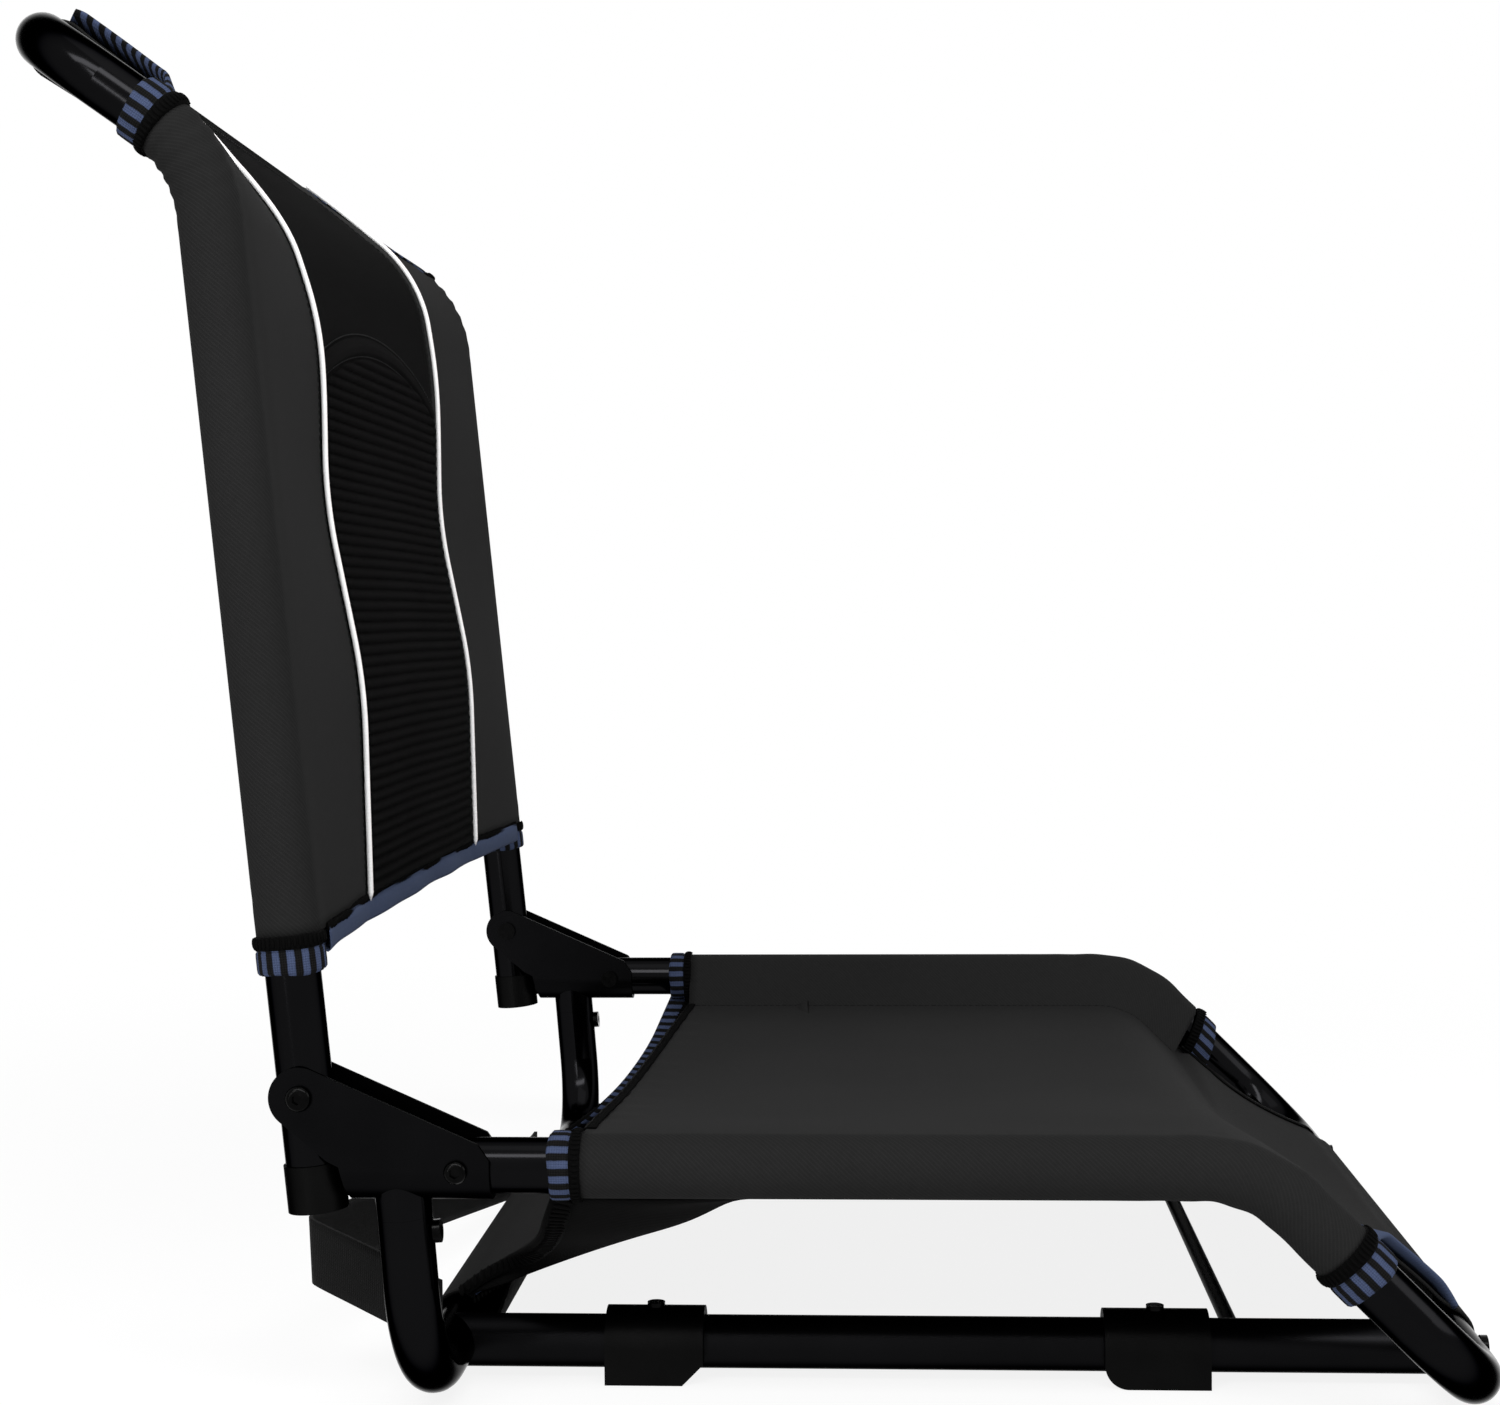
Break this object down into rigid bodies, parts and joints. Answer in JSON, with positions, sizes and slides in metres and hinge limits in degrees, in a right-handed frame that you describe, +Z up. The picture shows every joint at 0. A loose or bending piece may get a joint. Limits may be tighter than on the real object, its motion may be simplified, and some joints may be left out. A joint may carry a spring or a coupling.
{
  "type": "folding stadium seat",
  "caption": "Low folding stadium seat: bent black tube frame on sleeve feet, cloth sling seat with a dropped front, and a ribbed cloth back that folds forward on hinge brackets.",
  "frame": {"origin": "on the floor under the middle of the overall box, between the feet", "axes": "+X to the sitter's left, -Y to the front, +Z up"},
  "size_m": [0.5092, 0.5428, 0.5162],
  "materials": {
    "frame_paint": "satin powder coat, near black",
    "bracket_paint": "satin powder coat, near black",
    "fastener_black": "black oxide, slightly shiny",
    "plastic_black": "moulded black plastic",
    "side_cloth": "charcoal polyester canvas with a fine twill",
    "middle_cloth": "near-black knit",
    "flap_cloth": "light grey coated cloth",
    "binding_cloth": "slate blue and black striped binding",
    "piping_white": "white piping",
    "webbing": "black woven webbing"
  },
  "bodies": {
    "base": {"seat_frame_tube": "frame_paint", "rear_leg_tube": "frame_paint", "base_rail_right": "frame_paint", "base_rail_left": "frame_paint", "cross_rod": "frame_paint", "leg_spigots": "frame_paint", "hinge_bracket_right": "bracket_paint", "hinge_bracket_left": "bracket_paint", "base_rail_bolts": "fastener_black", "leg_screws": "fastener_black", "hinge_screws": "fastener_black", "hinge_barrels": "fastener_black", "rail_screws": "fastener_black", "rail_barrels": "fastener_black", "hinge_bushes": "fastener_black", "foot_screws": "fastener_black", "base_rail_plugs": "plastic_black", "rail_end_plugs": "plastic_black", "foot_front_right": "plastic_black", "foot_front_left": "plastic_black", "foot_rear_right": "plastic_black", "foot_rear_left": "plastic_black", "seat_sling": "side_cloth", "seat_front_panel": "side_cloth", "seat_underflap": "flap_cloth", "seat_rear_binding": "binding_cloth", "seat_rear_rings": "binding_cloth", "seat_front_rings": "binding_cloth", "seat_front_bindings": "binding_cloth", "carry_strap": "webbing"},
    "backrest": {"back_frame_tube": "frame_paint", "back_tube_caps": "plastic_black", "back_panel_right": "side_cloth", "back_panel_left": "side_cloth", "back_middle_panel": "middle_cloth", "lumbar_pad": "middle_cloth", "piping_right": "piping_white", "piping_left": "piping_white", "back_bottom_binding": "binding_cloth", "back_lower_rings": "binding_cloth", "back_upper_rings": "binding_cloth", "back_head_bindings": "binding_cloth"}
  },
  "joints": [
    {"name": "back_fold", "type": "hinge", "parent": "base", "child": "backrest", "pos_m": [0, 0.1608, 0.1215], "axis": [1, 0, 0], "range_deg": [0, 95]}
  ]
}
